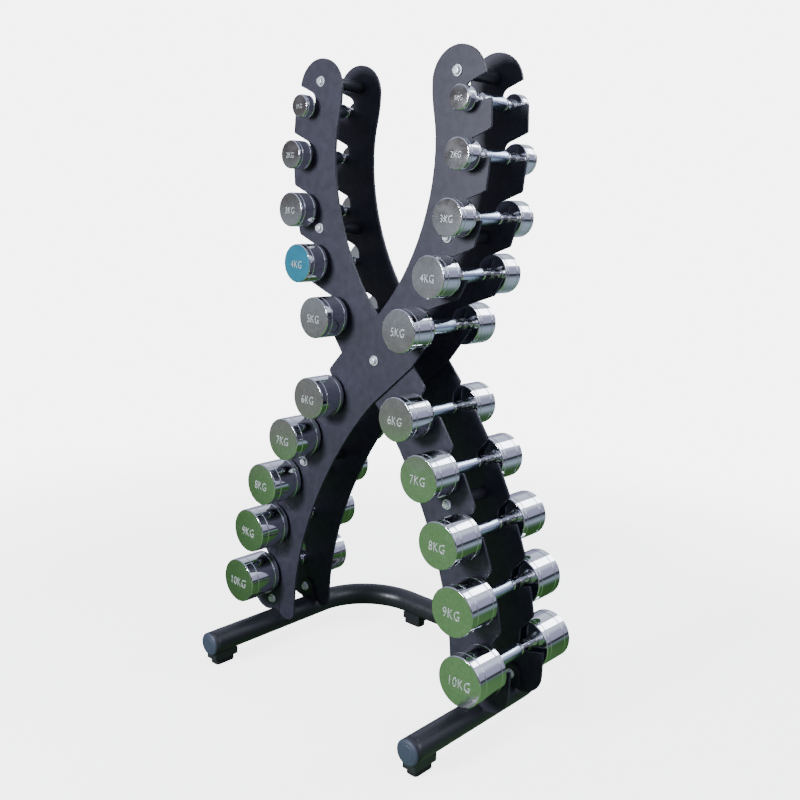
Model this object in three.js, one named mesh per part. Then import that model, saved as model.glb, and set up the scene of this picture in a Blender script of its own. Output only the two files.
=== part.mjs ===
// Crossed dumbbell rack with ten pairs of chrome dumbbells.
// Millimetres, +Z up, origin on the floor under the middle of the whole. The front faces -Y.
// Two S-shaped frames cross at mid-height. Frame A runs from the upper right to the lower left,
// frame B is its mirror image. Each frame is a front and a rear plate joined by spacer tubes.
import * as THREE from 'three';

// ---- driving dimensions -------------------------------------------------------------------
const PLATE = 5;                  // thickness of every frame plate
const GAP = 0.3;                  // running gap between pieces that touch
const FRAME_DEPTH = 119;          // front face of frame A to rear face of frame B
const CROSS_HEIGHT = 694;         // height of the crossing bolt
const CROSS_HALF_WIDTH = 96;      // where the outer edges of the two frames meet
const CROSS_TOP = 780;            // where the inner edges of the upper arms meet
const CROSS_BOTTOM = 609;         // where the inner edges of the lower arms meet

const NECK_RADIUS = 9;            // dumbbell neck that lies in a notch
const SEAT_RADIUS = 9.5;          // round bottom of a notch
const GRIP_RADIUS = 14;
const GRIP_HALF = 34;             // half the length of the thick part of a handle
const HANDLE_HALF = 67.5;         // half the distance between the two heads
const DUMBBELL_SHIFT = 3;         // the dumbbells sit this far towards the rear

const TUBE_RADIUS = 25;           // base tube
const TUBE_WALL = 2.5;
const TUBE_HEIGHT = 50;           // height of its centre line
const LEG_X = 286;                // the two legs of the base
const BASE_FRONT = -250;          // front of the end caps
const BASE_REAR = 240;            // centre line of the rear stretch
const BEND_RADIUS = 150;
const CAP_FLANGE = 6;

const SPACER_RADIUS = 12.5;
const SPACER_BORE = 7;
const SHANK_RADIUS = 5;
const BOLT_HOLE = 6;
const TAB = 6;                    // thickness of the tabs welded on the base tube
const TAB_BOLT = { x: 295, z: 98 };

const LOBE = { x: 176, z: 1213, radius: 59 };   // round top end of an arm
const LOBE_TIP_DEG = 9;
const UPPER_LIFT_DEG = 22;
const FIFTH_LIFT_DEG = 12;
const LOWER_LIFT_DEG = 35;
const SEAT_OPEN_DEG = 80;         // the seat ends this far round from the way out

// Each notch holds one dumbbell. neck is where the neck rests, tip is the corner of the block
// above it, lip is the outer corner of the block below it, slope is the angle of its upper edge.
const UPPER_NOTCHES = [
  { neck: [201, 1180], tip: [234.3, 1222.2], lip: [249, 1181], slope: 22, throat: 16 },
  { neck: [212, 1086], tip: [252, 1131], lip: [253, 1083], slope: 22, throat: 16 },
  { neck: [203, 978], tip: [248, 1027], lip: [243, 976], slope: 22, throat: 16 },
  { neck: [172, 873], tip: [229, 928], lip: [219, 871], slope: 22, throat: 20 },
  { neck: [113, 770], tip: [200, 835], lip: [150, 766], slope: 21, throat: 20 },
];
const LOWER_NOTCHES = [
  { neck: [119, 606], tip: [129, 657], lip: [166, 610], slope: 49, throat: 14 },
  { neck: [186, 508], tip: [203, 556], lip: [229, 514], slope: 49, throat: 14 },
  { neck: [245, 398], tip: [262, 452], lip: [281, 404], slope: 49, throat: 14 },
  { neck: [286, 283], tip: [307, 341], lip: [322, 288], slope: 49, throat: 14 },
  { neck: [315, 159], tip: [335, 228], lip: [362, 163], slope: 49, throat: 14 },
];

// The foot of a leg straddles the base tube: a round outer toe, a slit over the tube that lets
// the two toes spring apart, and a narrower inner toe.
const OUTER_TOE = { x: 317, z: 112, radius: 45 };
const INNER_TOE = { x: 247, z: 85, radius: 23 };
const SLIT = { x: 273, width: 2, top: 92 };
// Spacer tubes and the bolts through them.
const SPACERS = [
  { name: 'top', x: 174, z: 1228, arm: 'upper' },
  { name: 'middle', x: 169, z: 943, arm: 'upper' },
  { name: 'lower', x: 196, z: 446, arm: 'lower' },
];
// Head radius and head length of each dumbbell, by its mass in kilograms.
const HEADS = [
  [22, 23.5], [28, 35.5], [34, 42], [38.5, 49.5], [41, 56.5],
  [42.5, 61.5], [44.5, 68.5], [45, 76], [47.5, 76], [48.5, 80],
];

// ---- materials ----------------------------------------------------------------------------
const powderCoat = { color: 0x3a3b47, roughness: 0.6, metalness: 0.1 };
const tubePaint = { color: 0x1f222b, roughness: 0.4, metalness: 0.1 };
const chrome = { color: 0xd6d9de, roughness: 0.06, metalness: 1 };
const zinc = { color: 0xc4c8cc, roughness: 0.3, metalness: 1 };
const capPlastic = { color: 0x3c4654, roughness: 0.55, metalness: 0 };
const rubber = { color: 0x15171a, roughness: 0.85, metalness: 0 };

const rack = new THREE.Group();

function addPiece(name, geometry, finish, position = [0, 0, 0]) {
  const mesh = new THREE.Mesh(geometry, new THREE.MeshStandardMaterial(finish));
  mesh.name = name;
  mesh.position.set(...position);
  rack.add(mesh);
}

// ---- outline helpers, all in the X-Z plane ---------------------------------------------------
const rad = THREE.MathUtils.degToRad;

function arc(x, z, radius, fromDeg, toDeg, steps) {
  const points = [];
  for (let i = 0; i <= steps; i += 1) {
    const angle = rad(fromDeg + ((toDeg - fromDeg) * i) / steps);
    points.push(new THREE.Vector2(x + radius * Math.cos(angle), z + radius * Math.sin(angle)));
  }
  return points;
}

function bezier(from, handleA, handleB, to, steps) {
  const ends = [from, handleA, handleB, to].map(([x, z]) => new THREE.Vector2(x, z));
  return new THREE.CubicBezierCurve(...ends).getPoints(steps);
}

// A corner rounded by a quadratic curve that starts and ends `reach` from the corner.
function roundCorner(before, corner, after, reach, steps) {
  const middle = new THREE.Vector2(...corner);
  const start = middle.clone().add(new THREE.Vector2(...before).sub(middle).setLength(reach));
  const end = middle.clone().add(new THREE.Vector2(...after).sub(middle).setLength(reach));
  return new THREE.QuadraticBezierCurve(start, middle, end).getPoints(steps);
}

function mirrored(points) {
  return points.map((p) => new THREE.Vector2(-p.x, p.y));
}

// Extrudes an X-Z outline between two Y values.
function slab(outline, holes, yFront, yRear) {
  const shape = new THREE.Shape(outline);
  for (const hole of holes) {
    shape.holes.push(new THREE.Path(hole));
  }
  const geometry = new THREE.ExtrudeGeometry(shape, {
    depth: yRear - yFront,
    bevelEnabled: false,
  });
  geometry.rotateX(Math.PI / 2);
  geometry.translate(0, yRear, 0);
  return geometry;
}

function roundHole(x, z) {
  return arc(x, z, BOLT_HOLE, 0, 315, 7);
}

// ---- notches --------------------------------------------------------------------------------
// The stretch of a notch between its seat and its upper edge, from the way out inwards and up:
// seat arc, straight back wall, and throat arc that turns into the sloping upper edge.
function notchPoints(notch, liftDeg) {
  const [x, z] = notch.neck;
  const [tipX, tipZ] = notch.tip;
  const slope = rad(notch.slope);
  const throatX = x - SEAT_RADIUS + notch.throat;
  const edgeZ = tipZ - (tipX - throatX) * Math.tan(slope);
  const throatZ = edgeZ - notch.throat / Math.cos(slope);
  const seat = arc(x, z, SEAT_RADIUS, liftDeg - SEAT_OPEN_DEG, -180, 6);
  const throat = arc(throatX, throatZ, notch.throat, 180, 90 + notch.slope, 4);
  return [...seat, ...throat];
}

function liftAngle(kilograms) {
  if (kilograms > UPPER_NOTCHES.length) {
    return LOWER_LIFT_DEG;
  }
  return kilograms === UPPER_NOTCHES.length ? FIFTH_LIFT_DEG : UPPER_LIFT_DEG;
}

// ---- frame plates -----------------------------------------------------------------------------
const crossing = [CROSS_HALF_WIDTH, CROSS_HEIGHT];
const crossingCorner = new THREE.Vector2(...crossing);

// Upper arm for +X, from the crossing up its notched edge, over the round end and down inside.
function upperArm() {
  const points = [crossingCorner];
  for (let i = UPPER_NOTCHES.length - 1; i >= 0; i -= 1) {
    const notch = UPPER_NOTCHES[i];
    const below = i + 1 < UPPER_NOTCHES.length ? UPPER_NOTCHES[i + 1].tip : crossing;
    const inside = notchPoints(notch, liftAngle(i + 1));
    const first = inside[0].toArray();
    const last = inside[inside.length - 1].toArray();
    points.push(...roundCorner(below, notch.lip, first, 3, 2));
    points.push(...inside);
    if (i > 0) {
      points.push(...roundCorner(last, notch.tip, UPPER_NOTCHES[i - 1].lip, 3, 2));
    }
  }
  points.push(...arc(LOBE.x, LOBE.z, LOBE.radius, LOBE_TIP_DEG, 180, 18));
  points.push(...bezier([117, 1213], [117, 1165], [131, 1150], [131, 1095], 6).slice(1));
  points.push(...bezier([131, 1095], [131, 975], [75, 855], [0, CROSS_TOP], 13).slice(1));
  return points;
}

// Lower arm for +X, from the crossing down its notched edge to the two toes that straddle the
// base tube, and back up inside.
function lowerArm() {
  const points = [crossingCorner];
  const outerToe = [OUTER_TOE.x + OUTER_TOE.radius, OUTER_TOE.z];
  LOWER_NOTCHES.forEach((notch, i) => {
    const above = i > 0 ? LOWER_NOTCHES[i - 1].lip : crossing;
    const below = i + 1 < LOWER_NOTCHES.length ? LOWER_NOTCHES[i + 1].tip : outerToe;
    const inside = notchPoints(notch, liftAngle(i + 1 + UPPER_NOTCHES.length)).reverse();
    const first = inside[0].toArray();
    const last = inside[inside.length - 1].toArray();
    points.push(...roundCorner(above, notch.tip, first, 8, 3));
    points.push(...inside);
    points.push(...roundCorner(last, notch.lip, below, 4, 2));
  });
  const saddle = TUBE_RADIUS + GAP * 2;
  const slitRight = SLIT.x + SLIT.width / 2;
  const slitLeft = SLIT.x - SLIT.width / 2;
  const slitDeg = (x) => THREE.MathUtils.radToDeg(Math.acos((x - LEG_X) / saddle));
  points.push(...arc(OUTER_TOE.x, OUTER_TOE.z, OUTER_TOE.radius, 0, -100, 7));
  points.push(...arc(LEG_X, TUBE_HEIGHT, saddle, 50, slitDeg(slitRight), 4));
  points.push(new THREE.Vector2(slitRight, SLIT.top));
  points.push(new THREE.Vector2(slitLeft, SLIT.top));
  points.push(...arc(LEG_X, TUBE_HEIGHT, saddle, slitDeg(slitLeft), 140, 2));
  points.push(...arc(INNER_TOE.x, INNER_TOE.z, INNER_TOE.radius, -45, -180, 6));
  points.push(...bezier([224, 100], [224, 300], [95, 514], [0, CROSS_BOTTOM], 17));
  return points;
}

function frameOutline() {
  return [...upperArm(), ...mirrored(lowerArm())];
}

function frameHoles() {
  const holes = [roundHole(0, CROSS_HEIGHT), roundHole(-TAB_BOLT.x, TAB_BOLT.z)];
  for (const spacer of SPACERS) {
    holes.push(roundHole(spacer.arm === 'upper' ? spacer.x : -spacer.x, spacer.z));
  }
  return holes;
}

const outerFace = FRAME_DEPTH / 2;
const innerStart = outerFace - PLATE - GAP;      // outer face of the plate that lies inside

const plates = {
  frame_a_front_plate: { y: [-outerFace, -outerFace + PLATE], flip: false },
  frame_b_front_plate: { y: [-innerStart, -innerStart + PLATE], flip: true },
  frame_a_rear_plate: { y: [innerStart - PLATE, innerStart], flip: false },
  frame_b_rear_plate: { y: [outerFace - PLATE, outerFace], flip: true },
};

function flipHole(points) {
  return mirrored(points).reverse();
}

for (const [name, plate] of Object.entries(plates)) {
  const outline = plate.flip ? mirrored(frameOutline()).reverse() : frameOutline();
  const holes = plate.flip ? frameHoles().map(flipHole) : frameHoles();
  addPiece(name, slab(outline, holes, ...plate.y), powderCoat);
}

// ---- turned pieces, all about an axis along Y -------------------------------------------------
function turned(profile, segments) {
  return new THREE.LatheGeometry(profile.map(([r, y]) => new THREE.Vector2(r, y)), segments);
}

function spacerTube(yFront, yRear) {
  const profile = [
    [SPACER_BORE, yFront], [SPACER_RADIUS, yFront], [SPACER_RADIUS, yRear],
    [SPACER_BORE, yRear], [SPACER_BORE, yFront],
  ];
  return turned(profile, 16);
}

// A bolt from the front of one plate to the back of another, with its washers and its nut.
const WASHER = { radius: 10, thickness: 1.8 };
const BOLT_HEAD = { radius: 7.5, height: 6 };

function tieBolt(yFront, yRear) {
  const front = yFront - GAP;
  const rear = yRear + GAP;
  const washerFront = front - WASHER.thickness;
  const washerRear = rear + WASHER.thickness;
  return turned([
    [0, washerFront - BOLT_HEAD.height], [BOLT_HEAD.radius, washerFront - BOLT_HEAD.height],
    [BOLT_HEAD.radius, washerFront], [WASHER.radius, washerFront], [WASHER.radius, front],
    [SHANK_RADIUS, front], [SHANK_RADIUS, rear],
    [WASHER.radius, rear], [WASHER.radius, washerRear], [BOLT_HEAD.radius, washerRear],
    [BOLT_HEAD.radius, washerRear + BOLT_HEAD.height], [0, washerRear + BOLT_HEAD.height],
  ], 8);
}

// Frame A holds the right upper and left lower arms, frame B the left upper and right lower.
const frameSpan = {
  a: [-outerFace, innerStart],
  b: [-innerStart, outerFace],
};

for (const spacer of SPACERS) {
  for (const [side, sign] of [['right', 1], ['left', -1]]) {
    const isFrameA = (spacer.arm === 'upper') === (sign > 0);
    const [front, rear] = isFrameA ? frameSpan.a : frameSpan.b;
    const place = [sign * spacer.x, 0, spacer.z];
    const tube = spacerTube(front + PLATE + GAP, rear - PLATE - GAP);
    addPiece(`${spacer.name}_${side}_spacer`, tube, tubePaint, place);
    addPiece(`${spacer.name}_${side}_bolt`, tieBolt(front, rear), zinc, place);
  }
}
const innerFace = innerStart - PLATE - GAP;
addPiece('centre_spacer', spacerTube(-innerFace, innerFace), tubePaint, [0, 0, CROSS_HEIGHT]);
addPiece('centre_bolt', tieBolt(-outerFace, outerFace), zinc, [0, 0, CROSS_HEIGHT]);

// ---- base tube, caps, tabs and feet -------------------------------------------------------------
const BEND_STEPS = 8;

// Centre line of the base hoop: left leg, rear bend, rear stretch, rear bend, right leg.
class BasePath extends THREE.Curve {
  constructor() {
    super();
    const straight = LEG_X - BEND_RADIUS;
    const bendY = BASE_REAR - BEND_RADIUS;
    const plan = [
      new THREE.Vector2(-LEG_X, BASE_FRONT + CAP_FLANGE),
      ...arc(-straight, bendY, BEND_RADIUS, 180, 90, BEND_STEPS),
      ...arc(straight, bendY, BEND_RADIUS, 90, 0, BEND_STEPS),
      new THREE.Vector2(LEG_X, BASE_FRONT + CAP_FLANGE),
    ];
    this.stations = plan.map((p) => new THREE.Vector3(p.x, p.y, TUBE_HEIGHT));
  }

  getPoint(t, target = new THREE.Vector3()) {
    const last = this.stations.length - 1;
    const index = Math.min(Math.floor(t * last), last - 1);
    return target.lerpVectors(this.stations[index], this.stations[index + 1], t * last - index);
  }

  // Stations stay where they are instead of being spread evenly along the length.
  getUtoTmapping(u) {
    return u;
  }
}

const ring = new THREE.Shape(arc(0, 0, TUBE_RADIUS, 0, 337.5, 15));
ring.holes.push(new THREE.Path(arc(0, 0, TUBE_RADIUS - TUBE_WALL, 0, 337.5, 15)));
const basePath = new BasePath();
const baseTube = new THREE.ExtrudeGeometry(ring, {
  steps: basePath.stations.length - 1,
  extrudePath: basePath,
});
addPiece('base_tube', baseTube, tubePaint);

const CAP_PLUG = TUBE_RADIUS - TUBE_WALL - 1;
const capProfile = [
  [0, 0], [15, 0.5], [21.5, 2.2], [TUBE_RADIUS, CAP_FLANGE - GAP], [CAP_PLUG, CAP_FLANGE - GAP],
  [CAP_PLUG, CAP_FLANGE + 14], [0, CAP_FLANGE + 14],
];

for (const [side, sign] of [['right', 1], ['left', -1]]) {
  addPiece(`${side}_end_cap`, turned(capProfile, 16), capPlastic,
    [sign * LEG_X, BASE_FRONT, TUBE_HEIGHT]);
}

// Tabs stand on the base tube against the inner faces of the lower arms.
function tabOutline(sign) {
  const seat = TUBE_RADIUS + GAP;
  const outline = [
    ...arc(LEG_X, TUBE_HEIGHT, seat, 140, 40, 8),
    new THREE.Vector2(LEG_X + 30, TUBE_HEIGHT + 30),
    ...arc(TAB_BOLT.x, TAB_BOLT.z, 21, 0, 180, 10),
  ];
  return sign > 0 ? outline : mirrored(outline).reverse();
}

const tabBehind = { a_front: -outerFace + PLATE + GAP, b_front: -innerStart + PLATE + GAP };
const tabs = [
  { name: 'front_left', sign: -1, y: tabBehind.a_front, bolt: [-outerFace, null] },
  { name: 'front_right', sign: 1, y: tabBehind.b_front, bolt: [-innerStart, null] },
  { name: 'rear_left', sign: -1, y: -tabBehind.b_front - TAB, bolt: [null, innerStart] },
  { name: 'rear_right', sign: 1, y: -tabBehind.a_front - TAB, bolt: [null, outerFace] },
];
for (const tab of tabs) {
  const hole = roundHole(tab.sign * TAB_BOLT.x, TAB_BOLT.z);
  addPiece(`${tab.name}_tab`, slab(tabOutline(tab.sign), [hole], tab.y, tab.y + TAB), tubePaint);
  const front = tab.bolt[0] ?? tab.y;
  const rear = tab.bolt[1] ?? tab.y + TAB;
  addPiece(`${tab.name}_tab_bolt`, tieBolt(front, rear), zinc,
    [tab.sign * TAB_BOLT.x, 0, TAB_BOLT.z]);
}

// A foot is a rubber pad under a steel saddle block whose top follows the base tube.
const PAD_HEIGHT = 12;
const footPlan = { padLength: 48, padWidth: 26, saddleWidth: 30 };

function footSaddle(length) {
  const half = footPlan.saddleWidth / 2;
  const seat = TUBE_RADIUS + GAP;
  const spread = THREE.MathUtils.radToDeg(Math.asin(half / seat));
  const outline = [
    new THREE.Vector2(-half, PAD_HEIGHT + GAP),
    new THREE.Vector2(half, PAD_HEIGHT + GAP),
    ...arc(0, TUBE_HEIGHT, seat, -90 + spread, -90 - spread, 8),
  ];
  return slab(outline, [], -length / 2, length / 2);
}

function footPad() {
  const halfX = footPlan.padWidth / 2;
  const halfY = footPlan.padLength / 2;
  const corner = 7;
  const outline = [
    ...arc(halfX - corner, halfY - corner, corner, 0, 90, 4),
    ...arc(-halfX + corner, halfY - corner, corner, 90, 180, 4),
    ...arc(-halfX + corner, -halfY + corner, corner, 180, 270, 4),
    ...arc(halfX - corner, -halfY + corner, corner, 270, 360, 4),
  ];
  return new THREE.ExtrudeGeometry(new THREE.Shape(outline), {
    depth: PAD_HEIGHT,
    bevelEnabled: false,
  });
}

const feet = [
  { name: 'front_left', x: -LEG_X, y: -210, turn: 0, saddle: 60 },
  { name: 'front_right', x: LEG_X, y: -210, turn: 0, saddle: 60 },
  { name: 'rear_left', x: -117, y: BASE_REAR, turn: Math.PI / 2, saddle: 50 },
  { name: 'rear_right', x: 117, y: BASE_REAR, turn: Math.PI / 2, saddle: 50 },
];
for (const foot of feet) {
  const place = [foot.x, foot.y, 0];
  const saddle = footSaddle(foot.saddle).rotateZ(foot.turn);
  addPiece(`${foot.name}_foot_saddle`, saddle, tubePaint, place);
  addPiece(`${foot.name}_foot_pad`, footPad().rotateZ(foot.turn), rubber, place);
}

// ---- dumbbells ------------------------------------------------------------------------------------
function dumbbell(headRadius, headLength) {
  const half = [
    [GRIP_RADIUS, GRIP_HALF - 4], [NECK_RADIUS, GRIP_HALF + 3], [NECK_RADIUS, HANDLE_HALF],
    [headRadius, HANDLE_HALF], [headRadius, HANDLE_HALF + headLength],
    [0, HANDLE_HALF + headLength],
  ];
  const front = half.map(([r, y]) => [r, -y]).reverse();
  return turned([...front, ...half], 16);
}

HEADS.forEach(([radius, length], i) => {
  const kilograms = i + 1;
  const notch = [...UPPER_NOTCHES, ...LOWER_NOTCHES][i];
  for (const [side, sign] of [['right', 1], ['left', -1]]) {
    addPiece(`dumbbell_${kilograms}kg_${side}`, dumbbell(radius, length), chrome,
      [sign * notch.neck[0], DUMBBELL_SHIFT, notch.neck[1]]);
  }
});

// The rack stands with the middle of its base box on the origin.
rack.position.y = -(BASE_FRONT + BASE_REAR + TUBE_RADIUS) / 2;
const part = new THREE.Group();
part.add(rack);

export default part;
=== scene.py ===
"""Crossed dumbbell rack with ten pairs of chrome dumbbells, standing on a pale floor.

Everything is in metres, +Z up, front towards -Y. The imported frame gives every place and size;
the values below are only the shapes that the plain frame leaves out.
"""

import bmesh
import bpy
import numpy as np
from mathutils import Matrix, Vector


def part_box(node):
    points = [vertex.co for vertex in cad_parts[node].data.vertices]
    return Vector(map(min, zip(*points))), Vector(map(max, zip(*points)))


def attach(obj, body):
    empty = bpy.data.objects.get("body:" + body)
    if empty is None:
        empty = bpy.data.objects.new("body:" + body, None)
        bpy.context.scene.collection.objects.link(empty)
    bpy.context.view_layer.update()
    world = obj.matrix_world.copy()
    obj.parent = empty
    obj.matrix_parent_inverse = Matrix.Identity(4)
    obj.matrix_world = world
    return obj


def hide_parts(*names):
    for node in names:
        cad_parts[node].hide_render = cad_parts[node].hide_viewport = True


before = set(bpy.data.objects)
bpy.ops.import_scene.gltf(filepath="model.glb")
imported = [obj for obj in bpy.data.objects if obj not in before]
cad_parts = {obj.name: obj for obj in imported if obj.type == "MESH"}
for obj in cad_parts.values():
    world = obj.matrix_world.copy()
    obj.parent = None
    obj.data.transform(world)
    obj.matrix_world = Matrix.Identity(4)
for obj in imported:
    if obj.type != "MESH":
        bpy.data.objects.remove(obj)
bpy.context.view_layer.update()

CAMERA_PLACE = (1.2522, -1.4033, 1.0042)
CAMERA_YAW, CAMERA_PITCH, CAMERA_ROLL = 41.87, 11.96, 2.22
CAMERA_LENS = 42.43
CAMERA_SHIFT_X = 0.008

HANDLE_HALF = 0.0675         # from the middle of a dumbbell to the inner face of a head
GRIP_RADIUS = 0.014
GRIP_HALF = 0.0310
NECK_RADIUS = 0.009
COLLAR_RADIUS = 0.0114
HEAD_RIM = 0.0016            # bevel round the outer face of a head
FACE_CROWN = 0.0005          # how far the middle of an outer face stands proud of its rim
GROOVE_DEPTH = 0.0009
GROOVE_HALF = 0.0013
GROOVE_SHARES = (0.24, 0.84)  # of a head's length, from its outer face
FACE_EDGE = 0.0014           # bevel round the inner face of a head
POLE_RADIUS = 0.0003         # a turned end stops this far from its axis
# the dumbbell whose front outer face carries a painted teal reflection
TEAL_REFLECTION_DUMBBELL = "dumbbell_4kg_left"

FIGURE_RAISE = 0.0007
FIGURE_THINNING = -0.0002
FIGURE_DROP = 0.08           # below the middle of the face, against the head's radius
FIGURE_SHARE = 0.40          # height of the figures against the head's radius
FIGURE_SPACING = 1.12
FIGURE_NARROWING = 0.76
CAPITAL_HEIGHT = 0.72        # of a capital letter, against the size of its font

BEND_RADIUS = 0.150          # base tube
CAP_STEP = 0.0035            # the plug of an end cap is this much narrower than its flange
CAP_FLANGE = 0.0057
CAP_POLE = 0.0004
SPACER_BORE = 0.0072
SPACER_CHAMFER = 0.0008

HEX_FLAT = 0.0066            # half the width across the flats
HEX_CORNER = 0.0077
WASHER_RADIUS = 0.0100
WASHER_THICK = 0.0018
SHANK_RADIUS = 0.0050
THREAD_RADIUS = 0.0040
HEX_THICK = 0.006            # bolt head and nut
BOLT_TURN = 0.3              # radians that each hexagon is turned about its axis

ROUND_STEPS = 84             # points round a turned piece
HEX_STEPS = 96
RIM_STEPS = 96               # points round a studio disc
MERGE_DISTANCE = 1e-5
CORNER_LIMIT = 0.42          # share of a side that one rounded corner may take
SUPPORT_SHARE = 1.15         # distance of a support point from its corner, against the curve's


# ---- mesh building ----------------------------------------------------------------------------
def ring_faces(rows, columns):
    """Quads between neighbouring rows of a surface that closes on itself along its columns."""
    row, column = np.meshgrid(np.arange(rows - 1), np.arange(columns), indexing="ij")
    here = row * columns + column
    beside = row * columns + (column + 1) % columns
    return np.stack([here, here + columns, beside + columns, beside], axis=-1).reshape(-1, 4)


def closed_surface(name, points, flip=False):
    """Object made of a rows x columns x 3 grid of points, closed at both ends by a flat face."""
    rows, columns = points.shape[:2]
    first = np.arange(columns)
    last = (rows - 1) * columns + np.arange(columns)[::-1]
    faces = ring_faces(rows, columns).tolist() + [first.tolist(), last.tolist()]
    mesh = bpy.data.meshes.new(name)
    mesh.from_pydata(points.reshape(-1, 3).tolist(), [], faces)
    if flip:
        mesh.flip_normals()
    mesh.shade_smooth()
    piece = bpy.data.objects.new(name, mesh)
    bpy.context.scene.collection.objects.link(piece)
    return piece


def rounded(corners, reach, steps=5):
    """Profile with its inner corners rounded: at each corner a quadratic curve runs between the
    two points that lie `reach` along its sides, with one more point just outside each end to
    keep the flats flat."""
    corners = np.asarray(corners, float)
    before = corners[:-2] - corners[1:-1]
    after = corners[2:] - corners[1:-1]
    reach = np.broadcast_to(np.asarray(reach, float), len(before))[:, None]
    before_length = np.linalg.norm(before, axis=1, keepdims=True)
    after_length = np.linalg.norm(after, axis=1, keepdims=True)
    size = np.minimum(reach, CORNER_LIMIT * np.minimum(before_length, after_length))
    start = before / before_length * size
    end = after / after_length * size
    t = np.linspace(0.0, 1.0, steps)[None, :, None]
    curve = (1 - t) ** 2 * start[:, None] + t ** 2 * end[:, None]
    supports = SUPPORT_SHARE * start[:, None], SUPPORT_SHARE * end[:, None]
    curve = np.concatenate([supports[0], curve, supports[1]], axis=1)
    curve = curve + corners[1:-1, None]
    return np.vstack([corners[:1], curve.reshape(-1, 2), corners[-1:]])


def turned(name, centre, profile, columns=ROUND_STEPS):
    """Profile of (radius, distance along Y) turned about an axis along Y through `centre`."""
    angle = np.linspace(0.0, 2 * np.pi, columns, endpoint=False)
    radius, along = profile[:, 0:1], profile[:, 1:2]
    x = centre[0] + radius * np.sin(angle)
    y = centre[1] + along + 0 * angle
    z = centre[2] + radius * np.cos(angle)
    return closed_surface(name, np.stack([x, y, z], axis=-1))


def softened(node, width, segments=2):
    """Copy of a flat frame piece with its edges rounded as grinding and coating leave them."""
    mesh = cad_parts[node].data.copy()
    shape = bmesh.new()
    shape.from_mesh(mesh)
    bmesh.ops.remove_doubles(shape, verts=shape.verts, dist=MERGE_DISTANCE)
    bmesh.ops.dissolve_limit(
        shape, angle_limit=np.radians(0.5), verts=shape.verts, edges=shape.edges,
    )
    shape.to_mesh(mesh)
    shape.free()
    mesh.materials.clear()
    mesh.shade_smooth()
    piece = bpy.data.objects.new(f"{node}_finished", mesh)
    bpy.context.scene.collection.objects.link(piece)
    bevel = piece.modifiers.new("Rounded edges", "BEVEL")
    bevel.width = width
    bevel.segments = segments
    bevel.limit_method = "ANGLE"
    bevel.angle_limit = np.radians(35)
    normals = piece.modifiers.new("Flat faces", "WEIGHTED_NORMAL")
    normals.keep_sharp = True
    return piece


def finish_piece(piece, body, node, material):
    """Hands a piece its finish and the body it moves with, and hides the frame node it stands
    for.
    """
    piece.data.materials.append(material)
    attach(piece, body)
    if node:
        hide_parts(node)


# ---- materials --------------------------------------------------------------------------------
class Finish:
    """A node material: a Principled shader with helpers that feed its roughness and bump."""

    def __init__(self, name, colour, roughness, metallic=0.0, **sockets):
        self.material = bpy.data.materials.new(name)
        self.material.use_nodes = True
        self.nodes = self.material.node_tree.nodes
        self.links = self.material.node_tree.links
        self.shader = self.nodes["Principled BSDF"]
        self.shader.inputs["Base Color"].default_value = (*colour, 1.0)
        self.shader.inputs["Roughness"].default_value = roughness
        self.shader.inputs["Metallic"].default_value = metallic
        for socket, value in sockets.items():
            self.shader.inputs[socket.replace("_", " ")].default_value = value
        self.place = self.nodes.new("ShaderNodeTexCoord")
        self.normal = None

    def noise(self, scale, detail=3.0, stretch=(1, 1, 1), coordinates="Object"):
        mapping = self.nodes.new("ShaderNodeMapping")
        mapping.inputs["Scale"].default_value = stretch
        texture = self.nodes.new("ShaderNodeTexNoise")
        texture.inputs["Scale"].default_value = scale
        texture.inputs["Detail"].default_value = detail
        self.links.new(self.place.outputs[coordinates], mapping.inputs["Vector"])
        self.links.new(mapping.outputs["Vector"], texture.inputs["Vector"])
        return texture.outputs["Fac"]

    def spread(self, source, low, high):
        """The source, which runs from about 0.3 to 0.7, stretched to run from low to high."""
        span = self.nodes.new("ShaderNodeMapRange")
        span.inputs["From Min"].default_value = 0.3
        span.inputs["From Max"].default_value = 0.7
        span.inputs["To Min"].default_value = low
        span.inputs["To Max"].default_value = high
        self.links.new(source, span.inputs["Value"])
        return span.outputs["Result"]

    def vary_roughness(self, source, low, high):
        self.links.new(self.spread(source, low, high), self.shader.inputs["Roughness"])

    def vary_colour(self, source, dark, light):
        mix = self.nodes.new("ShaderNodeMix")
        mix.data_type = "RGBA"
        mix.inputs["A"].default_value = (*dark, 1.0)
        mix.inputs["B"].default_value = (*light, 1.0)
        self.links.new(self.spread(source, 0.0, 1.0), mix.inputs["Factor"])
        self.links.new(mix.outputs["Result"], self.shader.inputs["Base Color"])

    def bump(self, source, height, strength):
        node = self.nodes.new("ShaderNodeBump")
        node.inputs["Distance"].default_value = height
        node.inputs["Strength"].default_value = strength
        self.links.new(source, node.inputs["Height"])
        if self.normal is not None:
            self.links.new(self.normal, node.inputs["Normal"])
        self.normal = node.outputs["Normal"]
        self.links.new(self.normal, self.shader.inputs["Normal"])


def powder_coat():
    """Near-black satin powder coat with a violet cast, faint orange peel and fine speckle."""
    finish = Finish("Frame powder coat", (0.024, 0.023, 0.039), 0.45, Specular_IOR_Level=0.5)
    finish.vary_colour(finish.noise(60.0, 7.0), (0.018, 0.017, 0.030), (0.031, 0.030, 0.049))
    finish.vary_roughness(finish.noise(420.0, 2.0), 0.38, 0.56)
    finish.bump(finish.noise(650.0, 2.0), 0.00012, 0.8)
    finish.bump(finish.noise(120.0, 1.0), 0.00012, 0.4)
    return finish.material


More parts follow.
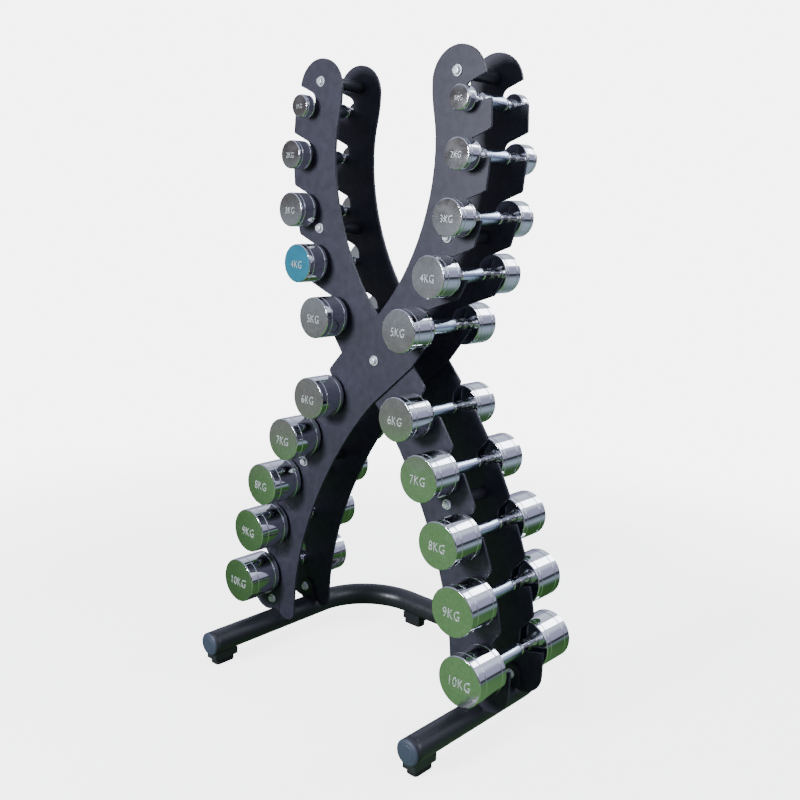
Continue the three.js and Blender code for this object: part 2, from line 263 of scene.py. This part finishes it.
def tube_paint():
    """Smooth black paint on the bent tube, a little glossier than the plates."""
    finish = Finish("Base tube paint", (0.019, 0.020, 0.026), 0.36, Specular_IOR_Level=0.5)
    finish.vary_colour(finish.noise(7.0), (0.016, 0.017, 0.022), (0.024, 0.025, 0.032))
    finish.vary_roughness(finish.noise(160.0, 3.0), 0.30, 0.44)
    finish.bump(finish.noise(380.0, 2.0), 0.00005, 0.5)
    return finish.material


def head_chrome():
    """Polished chrome plate with a trace of the lathe's ripple and soft wipe marks."""
    finish = Finish("Dumbbell chrome", (0.78, 0.79, 0.82), 0.05, 1.0)
    finish.vary_roughness(finish.noise(26.0, 4.0), 0.035, 0.085)
    finish.bump(finish.noise(34.0, 1.0, (1, 0.35, 1)), 0.00012, 0.35)
    finish.bump(finish.noise(900.0, 1.0, (0.15, 1, 0.15)), 0.000012, 0.4)
    return finish.material


def grip_knurl():
    """Chromed knurling: two sets of ridges that cross on the piece's own UV map."""
    # the blue in this base colour is a painted sky reflection
    finish = Finish("Knurled grip", (0.72, 0.82, 0.96), 0.18, 1.0)
    for slant in (0.78, -0.78):
        mapping = finish.nodes.new("ShaderNodeMapping")
        mapping.inputs["Rotation"].default_value = (0.0, 0.0, slant)
        wave = finish.nodes.new("ShaderNodeTexWave")
        wave.inputs["Scale"].default_value = 170.0
        finish.links.new(finish.place.outputs["UV"], mapping.inputs["Vector"])
        finish.links.new(mapping.outputs["Vector"], wave.inputs["Vector"])
        finish.bump(wave.outputs["Fac"], 0.0002, 0.25)
    finish.vary_roughness(finish.noise(60.0), 0.14, 0.22)
    return finish.material


def raised_letters():
    """Bright satin metal on the raised figures, which catch the light on every side."""
    finish = Finish("Raised figures", (0.74, 0.77, 0.77), 0.36, 0.6)
    finish.vary_roughness(finish.noise(300.0), 0.30, 0.44)
    return finish.material


def faced_chrome():
    """Chrome on the outer faces, slightly cloudy, with faint streaks that fan out from the middle
    because they follow the turn of the piece's own UV map."""
    finish = Finish("Faced chrome", (0.80, 0.81, 0.83), 0.14, 1.0)
    finish.vary_roughness(finish.noise(45.0, 4.0), 0.10, 0.20)
    finish.vary_colour(finish.noise(150.0, 5.0), (0.70, 0.71, 0.73), (0.84, 0.85, 0.86))
    finish.bump(finish.noise(420.0, 3.0, (1, 0, 0), "UV"), 0.00030, 0.5)
    finish.bump(finish.noise(500.0, 3.0), 0.00003, 0.6)
    return finish.material


def painted_teal_reflection():
    """Teal on the outer face of one dumbbell: a painted reflection."""
    finish = Finish("Painted teal reflection", (0.035, 0.22, 0.32), 0.22, 0.35, Specular_IOR_Level=0.6)
    finish.vary_colour(finish.noise(40.0), (0.030, 0.20, 0.29), (0.042, 0.24, 0.35))
    finish.bump(finish.noise(500.0, 2.0), 0.00003, 0.5)
    return finish.material


def zinc_plate():
    """Bright zinc on the bolts, slightly clouded."""
    finish = Finish("Bolt zinc", (0.86, 0.89, 0.93), 0.30, 0.6)
    finish.vary_colour(finish.noise(150.0), (0.78, 0.81, 0.86), (0.90, 0.93, 0.97))
    finish.vary_roughness(finish.noise(260.0), 0.22, 0.40)
    finish.bump(finish.noise(900.0, 2.0), 0.00002, 0.5)
    return finish.material


def cap_plastic():
    """Blue-grey moulded plastic with a fine eroded grain."""
    finish = Finish("End cap plastic", (0.040, 0.053, 0.080), 0.5, Specular_IOR_Level=0.45)
    finish.vary_roughness(finish.noise(300.0, 2.0), 0.42, 0.60)
    finish.bump(finish.noise(1500.0, 2.0), 0.00005, 0.8)
    return finish.material


def foot_rubber():
    """Matt black rubber."""
    finish = Finish("Foot rubber", (0.012, 0.012, 0.014), 0.75, Specular_IOR_Level=0.35)
    finish.vary_roughness(finish.noise(120.0), 0.65, 0.85)
    finish.bump(finish.noise(700.0, 3.0), 0.00008, 0.7)
    return finish.material


POWDER_COAT = powder_coat()
TUBE_PAINT = tube_paint()
CHROME = head_chrome()
KNURL = grip_knurl()
LETTERS = raised_letters()
FACED_CHROME = faced_chrome()
PAINTED_TEAL_REFLECTION = painted_teal_reflection()
ZINC = zinc_plate()
CAP_PLASTIC = cap_plastic()
RUBBER = foot_rubber()


# ---- the rack ---------------------------------------------------------------------------------
def extent(node):
    """Middle point and half sizes of a frame node."""
    low, high = (np.array(corner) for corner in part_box(node))
    return (low + high) / 2, (high - low) / 2


def flat_pieces():
    """Plates, tabs, saddles and pads keep their cut outlines and get rounded edges."""
    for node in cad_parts:
        if node.endswith("_plate"):
            finish_piece(softened(node, 0.0007, 3), "rack", node, POWDER_COAT)
        elif node.endswith("_tab") or node.endswith("_saddle"):
            finish_piece(softened(node, 0.0008), "rack", node, TUBE_PAINT)
        elif node.endswith("_pad"):
            finish_piece(softened(node, 0.0018, 3), "rack", node, RUBBER)


def base_tube():
    """A circle carried along the hoop: left leg, quarter bend, rear stretch, quarter bend, right
    leg. The bends are quarter circles and the circle stays square to the path."""
    middle, half = extent("base_tube")
    radius = half[2]
    leg = half[0] - radius
    rear = middle[1] + half[1] - radius
    front = middle[1] - half[1]
    turn = np.linspace(0.0, np.pi / 2, 40)
    bend_x = leg - BEND_RADIUS + BEND_RADIUS * np.cos(turn)
    bend_y = rear - BEND_RADIUS + BEND_RADIUS * np.sin(turn)
    legs = np.linspace(front, rear - BEND_RADIUS, 24)[:-1]
    right = np.concatenate([np.stack([0 * legs + leg, legs], 1), np.stack([bend_x, bend_y], 1)])
    left = right[::-1] * (-1, 1)
    path = np.vstack([right, left])
    direction = np.gradient(path, axis=0)
    direction /= np.linalg.norm(direction, axis=1, keepdims=True)
    outward = np.stack([direction[:, 1], -direction[:, 0]], 1)
    angle = np.linspace(0.0, 2 * np.pi, 64, endpoint=False)
    across = radius * np.cos(angle)
    up = radius * np.sin(angle)
    x = path[:, 0:1] + outward[:, 0:1] * across
    y = path[:, 1:2] + outward[:, 1:2] * across
    z = middle[2] + up + 0 * x
    tube = closed_surface("base_tube_bent", np.stack([x, y, z], axis=-1), flip=True)
    finish_piece(tube, "rack", "base_tube", TUBE_PAINT)


def end_cap(node):
    """A low domed cap with a flange as wide as the tube and a shallow ring round its face."""
    middle, half = extent(node)
    front = -half[1]
    radius = half[0]
    profile = rounded([
        (CAP_POLE, front), (0.0150, front + 0.0003), (0.0165, front + 0.0012),
        (0.0185, front + 0.0009), (0.0225, front + 0.0021), (radius, front + 0.0045),
        (radius, front + CAP_FLANGE), (radius - CAP_STEP, front + CAP_FLANGE),
        (radius - CAP_STEP, half[1]), (CAP_POLE, half[1]),
    ], 0.0012)
    cap = turned(f"{node}_moulded", middle, profile)
    finish_piece(cap, "rack", node, CAP_PLASTIC)


def spacer(node):
    """A cross tube with a chamfer at each end."""
    middle, half = extent(node)
    radius = half[2]
    profile = rounded([
        (SPACER_BORE, -half[1]), (radius - SPACER_CHAMFER, -half[1]),
        (radius, -half[1] + SPACER_CHAMFER), (radius, half[1] - SPACER_CHAMFER),
        (radius - SPACER_CHAMFER, half[1]), (SPACER_BORE, half[1]),
    ], 0.0006)
    tube = turned(f"{node}_tube", middle, profile, 64)
    finish_piece(tube, "rack", node, TUBE_PAINT)


def hex_bolt(node):
    """Bolt head, washer, shank, washer and nut in one surface. Where a row is marked as hexagonal
    its radius is the smaller of the profile's and the hexagon's, which leaves the curved chamfers
    that a turned hexagon has."""
    middle, half = extent(node)
    front, rear = -half[1], half[1]
    plate_front = front + HEX_THICK + WASHER_THICK
    plate_rear = rear - HEX_THICK - WASHER_THICK
    washer_front = plate_front - WASHER_THICK
    washer_rear = plate_rear + WASHER_THICK
    rows = np.array([
        (POLE_RADIUS, front + 0.0004, 1), (0.0048, front + 0.0004, 1), (0.0052, front, 1),
        (0.0060, front, 1), (HEX_FLAT, front + 0.0003, 1), (HEX_CORNER, front + 0.0015, 1),
        (HEX_CORNER, washer_front - 0.0002, 1), (0.0078, washer_front, 0),
        (0.0097, washer_front, 0), (WASHER_RADIUS, washer_front + 0.0003, 0),
        (WASHER_RADIUS, plate_front, 0), (SHANK_RADIUS, plate_front, 0),
        (SHANK_RADIUS, plate_rear, 0), (WASHER_RADIUS, plate_rear, 0),
        (WASHER_RADIUS, washer_rear - 0.0003, 0), (0.0097, washer_rear, 0),
        (0.0078, washer_rear, 0), (HEX_CORNER, washer_rear + 0.0002, 1),
        (HEX_CORNER, rear - 0.0015, 1), (HEX_FLAT, rear - 0.0003, 1), (0.0058, rear, 1),
        (0.0044, rear, 0), (THREAD_RADIUS, rear - 0.0006, 0), (THREAD_RADIUS, rear + 0.0022, 0),
        (0.0034, rear + 0.0028, 0), (POLE_RADIUS, rear + 0.0028, 0),
    ])
    angle = np.linspace(0.0, 2 * np.pi, HEX_STEPS, endpoint=False)
    from_flat = np.mod(angle + np.pi / 6, np.pi / 3) - np.pi / 6
    hexagon = HEX_FLAT / np.cos(from_flat)
    radius = rows[:, 0:1] + 0 * angle
    radius = np.where(rows[:, 2:3] > 0, np.minimum(radius, hexagon), radius)
    x = middle[0] + radius * np.sin(angle + BOLT_TURN)
    y = middle[1] + rows[:, 1:2] + 0 * angle
    z = middle[2] + radius * np.cos(angle + BOLT_TURN)
    bolt = closed_surface(f"{node}_hex", np.stack([x, y, z], axis=-1))
    bolt.data.set_sharp_from_angle(angle=np.radians(32))
    finish_piece(bolt, "rack", node, ZINC)


# ---- dumbbells --------------------------------------------------------------------------------
def half_profile(radius, length):
    """Profile of half a dumbbell from the middle of its outer face to the middle of its grip:
    a face crowned as a parabola, a bevel, two grooves that dip as a cosine, inner face, bead,
    neck, ring and tapered grip."""
    outer = HANDLE_HALF + length
    rim = radius - HEAD_RIM
    out = np.linspace(0.0, 1.0, 9)
    crown = np.stack([
        POLE_RADIUS + (rim - POLE_RADIUS) * out, outer - FACE_CROWN * out ** 2,
    ], axis=1)
    side = [(radius, outer - FACE_CROWN - HEAD_RIM)]
    wave = np.linspace(-1.2, 1.2, 13)
    for share in GROOVE_SHARES:
        dip = GROOVE_DEPTH * (0.5 + 0.5 * np.cos(np.pi * np.clip(wave, -1.0, 1.0)))
        along = outer - share * length - GROOVE_HALF * wave
        side += np.stack([radius - dip, along], axis=1).tolist()
    handle = [
        (radius, HANDLE_HALF + FACE_EDGE), (radius - FACE_EDGE, HANDLE_HALF),
        (NECK_RADIUS + 0.001, HANDLE_HALF), (NECK_RADIUS, 0.0668), (COLLAR_RADIUS, 0.0660),
        (COLLAR_RADIUS, 0.0638), (NECK_RADIUS, 0.0630), (NECK_RADIUS, 0.0432),
        (COLLAR_RADIUS, 0.0424), (COLLAR_RADIUS, 0.0402), (NECK_RADIUS + 0.0006, 0.0392),
        (NECK_RADIUS + 0.0006, 0.0364), (GRIP_RADIUS, GRIP_HALF), (GRIP_RADIUS, 0.0),
    ]
    reach = [0.0006] * 4 + [0.0009] * 2 + [0.0006] * 2 + [0.0009] * 2 + [0.0006] * 2 + [0.0010]
    bevel = rounded([crown[-2], crown[-1], side[0], side[1]], 0.0005)
    return np.vstack([crown[:-2], bevel[:-1], side[1:-1], rounded([side[-1]] + handle, reach)])


def dumbbell(node):
    """A dumbbell turned in one piece, with its knurl and faces on materials of their own and a
    UV map wrapped round it: turn across, distance along."""
    middle, half = extent(node)
    profile = half_profile(half[2], half[1] - HANDLE_HALF)
    front = profile * (1, -1)
    whole = np.vstack([front, profile[-2::-1]])
    piece = turned(f"{node}_turned", middle, whole)
    finish_piece(piece, node, node, CHROME)
    mesh = piece.data
    for material in (KNURL, FACED_CHROME, PAINTED_TEAL_REFLECTION):
        mesh.materials.append(material)
    plain, knurled, faced, teal_reflection = range(len(mesh.materials))
    centres = np.empty(len(mesh.polygons) * 3)
    mesh.polygons.foreach_get("center", centres)
    along = centres.reshape(-1, 3)[:, 1] - middle[1]
    finish = np.where(np.abs(along) < GRIP_HALF - 0.0015, knurled, plain)
    finish = np.where(np.abs(along) > half[1] - FACE_CROWN - 0.0001, faced, finish)
    # painted teal reflection on the front outer face
    if node == TEAL_REFLECTION_DUMBBELL:
        finish = np.where(along < -half[1] + FACE_CROWN + 0.0001, teal_reflection, finish)
    mesh.polygons.foreach_set("material_index", finish.astype(np.int32))
    corner_vertex = np.empty(len(mesh.loops), np.int32)
    mesh.loops.foreach_get("vertex_index", corner_vertex)
    rows = len(whole)
    around = (corner_vertex % ROUND_STEPS) / ROUND_STEPS
    next_turn = np.zeros(len(mesh.loops))
    quads = (rows - 1) * ROUND_STEPS
    last_column = (np.arange(quads) % ROUND_STEPS) == ROUND_STEPS - 1
    next_turn[:quads * 4] = np.repeat(last_column, 4) * (around[:quads * 4] < 0.5)
    distance = whole[np.minimum(corner_vertex // ROUND_STEPS, rows - 1), 1]
    wrap = 2 * np.pi * GRIP_RADIUS * (around + next_turn)
    uv = mesh.uv_layers.new(name="Wrapped")
    uv.data.foreach_set("uv", np.stack([wrap, distance], axis=1).ravel())


def figures(node, text):
    """Raised weight figures on both outer faces: a flat text outline given thickness, made a
    mesh, then stood up and moved on to the face."""
    middle, half = extent(node)
    outline = bpy.data.curves.new(f"{node}_outline", "FONT")
    outline.body = text
    outline.align_x = "CENTER"
    outline.align_y = "CENTER"
    outline.size = FIGURE_SHARE * half[2] / CAPITAL_HEIGHT
    outline.space_character = FIGURE_SPACING
    outline.extrude = FIGURE_RAISE
    outline.offset = FIGURE_THINNING
    source = bpy.data.objects.new(f"{node}_outline", outline)
    bpy.context.scene.collection.objects.link(source)
    bpy.context.view_layer.update()
    depsgraph = bpy.context.evaluated_depsgraph_get()
    flat = bpy.data.meshes.new_from_object(source.evaluated_get(depsgraph))
    bpy.data.objects.remove(source)
    stand = Matrix.Rotation(np.pi / 2, 4, "X")
    narrow = Matrix.Diagonal((FIGURE_NARROWING, 1.0, 1.0, 1.0))
    drop = FIGURE_DROP * half[2]
    for side, turn, face in (("front", 0.0, -half[1]), ("rear", np.pi, half[1])):
        mesh = flat.copy()
        place = Matrix.Translation((middle[0], middle[1] + face, middle[2] - drop))
        mesh.transform(place @ Matrix.Rotation(turn, 4, "Z") @ stand @ narrow)
        mesh.materials.clear()
        piece = bpy.data.objects.new(f"{node}_figures_{side}", mesh)
        bpy.context.scene.collection.objects.link(piece)
        finish_piece(piece, node, None, LETTERS)
    bpy.data.meshes.remove(flat)


def build_rack():
    """Every piece of the rack itself."""
    flat_pieces()
    base_tube()
    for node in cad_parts:
        if node.endswith("_cap"):
            end_cap(node)
        elif node.endswith("_spacer"):
            spacer(node)
        elif node.endswith("_bolt"):
            hex_bolt(node)


def build_dumbbells():
    """Every dumbbell, with the figures that its name gives."""
    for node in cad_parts:
        if node.startswith("dumbbell_"):
            dumbbell(node)
            figures(node, node.split("_")[1].upper())


# ---- studio -----------------------------------------------------------------------------------
def fading_disc(name, centre, reach, finish, near, far):
    """A flat round sheet whose finish fades to nothing between two distances from its middle."""
    angle = np.linspace(0.0, 2 * np.pi, RIM_STEPS, endpoint=False)
    x, y, z = centre
    rim = np.stack([x + reach * np.cos(angle), y + reach * np.sin(angle), z + 0 * angle], axis=-1)
    mesh = bpy.data.meshes.new(name)
    mesh.from_pydata(rim.tolist(), [], [list(range(RIM_STEPS))])
    mesh.materials.append(finish.material)
    disc = bpy.data.objects.new(name, mesh)
    bpy.context.scene.collection.objects.link(disc)
    distance = finish.nodes.new("ShaderNodeVectorMath")
    distance.operation = "DISTANCE"
    distance.inputs[1].default_value = centre
    fade = finish.nodes.new("ShaderNodeMapRange")
    fade.interpolation_type = "SMOOTHSTEP"
    fade.inputs["From Min"].default_value = near
    fade.inputs["From Max"].default_value = far
    fade.inputs["To Min"].default_value = 1.0
    fade.inputs["To Max"].default_value = 0.0
    finish.links.new(finish.place.outputs["Object"], distance.inputs[0])
    finish.links.new(distance.outputs["Value"], fade.inputs["Value"])
    finish.links.new(fade.outputs["Result"], finish.shader.inputs["Alpha"])
    return disc


def pale_floor():
    """A pale floor with a little light of its own, so that its shadows stay soft."""
    finish = Finish(
        "Pale floor", (0.86, 0.86, 0.87), 0.8, Specular_IOR_Level=0.2,
        Emission_Color=(1.0, 1.0, 1.0, 1.0), Emission_Strength=3.4,
    )
    floor = fading_disc("floor", (0.0, 0.0, -0.0005), 3.2, finish, 0.9, 2.2)
    floor.visible_glossy = False
    floor.visible_diffuse = False


def painted_green_reflection():
    """A glowing green sheet on the floor that only the polished metal sees: a painted green
    reflection, with painted shade that darkens it behind the rack and to its left, following the
    distance along (-0.6, 1, 0)."""
    finish = Finish(
        "Painted green reflection", (0.0, 0.0, 0.0), 1.0, Specular_IOR_Level=0.0, Emission_Strength=0.8,
    )
    along = finish.nodes.new("ShaderNodeVectorMath")
    along.operation = "DOT_PRODUCT"
    along.inputs[1].default_value = (-0.6, 1.0, 0.0)
    # painted shade: the reflection is darker behind the rack and to its left
    behind = finish.nodes.new("ShaderNodeMapRange")
    behind.inputs["From Min"].default_value = -0.5
    behind.inputs["From Max"].default_value = 0.2
    shade = finish.nodes.new("ShaderNodeMix")
    shade.data_type = "RGBA"
    shade.inputs["A"].default_value = (0.20, 0.41, 0.17, 1.0)
    shade.inputs["B"].default_value = (0.045, 0.12, 0.035, 1.0)
    finish.links.new(finish.place.outputs["Object"], along.inputs[0])
    finish.links.new(along.outputs["Value"], behind.inputs["Value"])
    finish.links.new(behind.outputs["Result"], shade.inputs["Factor"])
    finish.links.new(shade.outputs["Result"], finish.shader.inputs["Emission Color"])
    card = fading_disc("painted_green_reflection", (-0.2, -0.4, -0.001), 3.0, finish, 1.2, 2.2)
    card.visible_camera = False
    card.visible_diffuse = False
    card.visible_shadow = False


FRONT_SURROUNDINGS = (
    (0.00, (0.30, 0.36, 0.30)), (0.34, (0.26, 0.28, 0.24)), (0.42, (0.24, 0.24, 0.24)),
    (0.465, (0.38, 0.42, 0.48)), (0.495, (0.24, 0.25, 0.26)), (0.525, (0.11, 0.095, 0.10)),
    (0.57, (0.10, 0.085, 0.09)), (0.62, (0.30, 0.32, 0.40)), (0.80, (0.56, 0.60, 0.80)),
    (1.00, (0.62, 0.66, 0.86)),
)
REAR_SURROUNDINGS = (
    (0.00, (0.26, 0.30, 0.30)), (0.36, (0.45, 0.56, 0.72)), (0.42, (0.28, 0.34, 0.43)),
    (0.46, (0.05, 0.06, 0.07)), (0.495, (0.05, 0.055, 0.065)), (0.52, (0.47, 0.48, 0.68)),
    (0.66, (0.55, 0.56, 0.80)), (0.73, (1.15, 1.25, 1.50)), (0.82, (0.95, 1.02, 1.25)),
    (0.90, (0.45, 0.49, 0.62)), (1.00, (0.40, 0.44, 0.58)),
)


def by_height(nodes, links, height, stops):
    """Colour that changes with the height of a direction, from straight down to straight up."""
    ramp = nodes.new("ShaderNodeValToRGB")
    for element, (position, colour) in zip(ramp.color_ramp.elements, (stops[0], stops[-1])):
        element.position = position
        element.color = (*colour, 1.0)
    for position, colour in stops[1:-1]:
        ramp.color_ramp.elements.new(position).color = (*colour, 1.0)
    links.new(height, ramp.inputs["Fac"])
    return ramp.outputs["Color"]


def surroundings():
    """Soft light that differs in front and behind, with a plain pale backdrop for the camera."""
    world = bpy.data.worlds.new("Studio")
    bpy.context.scene.world = world
    world.use_nodes = True
    nodes, links = world.node_tree.nodes, world.node_tree.links
    room = nodes["Background"]
    place = nodes.new("ShaderNodeTexCoord")
    direction = nodes.new("ShaderNodeSeparateXYZ")
    links.new(place.outputs["Generated"], direction.inputs["Vector"])
    spans = {}
    for axis, reach in (("Z", 1.0), ("Y", 0.2)):
        spans[axis] = nodes.new("ShaderNodeMapRange")
        spans[axis].inputs["From Min"].default_value = -reach
        spans[axis].inputs["From Max"].default_value = reach
        links.new(direction.outputs[axis], spans[axis].inputs["Value"])
    height = spans["Z"].outputs["Result"]
    mix = nodes.new("ShaderNodeMix")
    mix.data_type = "RGBA"
    links.new(spans["Y"].outputs["Result"], mix.inputs["Factor"])
    links.new(by_height(nodes, links, height, FRONT_SURROUNDINGS), mix.inputs["A"])
    links.new(by_height(nodes, links, height, REAR_SURROUNDINGS), mix.inputs["B"])
    links.new(mix.outputs["Result"], room.inputs["Color"])
    room.inputs["Strength"].default_value = 0.8
    backdrop = nodes.new("ShaderNodeBackground")
    backdrop.inputs["Color"].default_value = (1.0, 1.0, 1.0, 1.0)
    backdrop.inputs["Strength"].default_value = 6.0
    choose = nodes.new("ShaderNodeMixShader")
    ray = nodes.new("ShaderNodeLightPath")
    links.new(ray.outputs["Is Camera Ray"], choose.inputs["Fac"])
    links.new(room.outputs["Background"], choose.inputs[1])
    links.new(backdrop.outputs["Background"], choose.inputs[2])
    links.new(choose.outputs["Shader"], nodes["World Output"].inputs["Surface"])


def softbox(name, place, target, size, power, colour):
    """A square soft light that faces its target."""
    light = bpy.data.lights.new(name, "AREA")
    light.size = size
    light.energy = power
    light.color = colour
    holder = bpy.data.objects.new(name, light)
    bpy.context.scene.collection.objects.link(holder)
    aim = np.array(target) - np.array(place)
    holder.location = place
    holder.rotation_euler = (
        np.arctan2(np.hypot(aim[0], aim[1]), -aim[2]), 0.0, np.arctan2(-aim[0], aim[1]),
    )


def camera():
    """The camera's axes: forward from yaw and pitch, then rolled about forward."""
    yaw, pitch, roll = np.radians([CAMERA_YAW, CAMERA_PITCH, CAMERA_ROLL])
    forward = np.array([
        -np.sin(yaw) * np.cos(pitch), np.cos(yaw) * np.cos(pitch), -np.sin(pitch),
    ])
    level = np.array([np.cos(yaw), np.sin(yaw), 0.0])
    upright = np.cross(level, forward)
    right = np.cos(roll) * level + np.sin(roll) * upright
    up = -np.sin(roll) * level + np.cos(roll) * upright
    lens = bpy.data.cameras.new("Camera")
    lens.lens = CAMERA_LENS
    lens.shift_x = CAMERA_SHIFT_X
    lens.clip_start = 0.05
    holder = bpy.data.objects.new("Camera", lens)
    bpy.context.scene.collection.objects.link(holder)
    axes = np.eye(4)
    axes[:3, 0] = right
    axes[:3, 1] = up
    axes[:3, 2] = -forward
    axes[:3, 3] = CAMERA_PLACE
    holder.matrix_world = Matrix(axes.tolist())
    bpy.context.scene.camera = holder


build_rack()
build_dumbbells()
pale_floor()
painted_green_reflection()
surroundings()
softbox("Key light", (-0.5, -3.4, 1.5), (0.0, 0.0, 0.6), 0.8, 190.0, (0.90, 0.93, 1.0))
softbox("Rear light", (0.9, 3.2, 2.6), (0.0, 0.0, 0.6), 1.4, 45.0, (0.86, 0.92, 1.0))
softbox("Side light", (2.8, 0.6, 2.4), (0.1, 0.0, 0.6), 1.6, 35.0, (0.90, 0.94, 1.0))
camera()
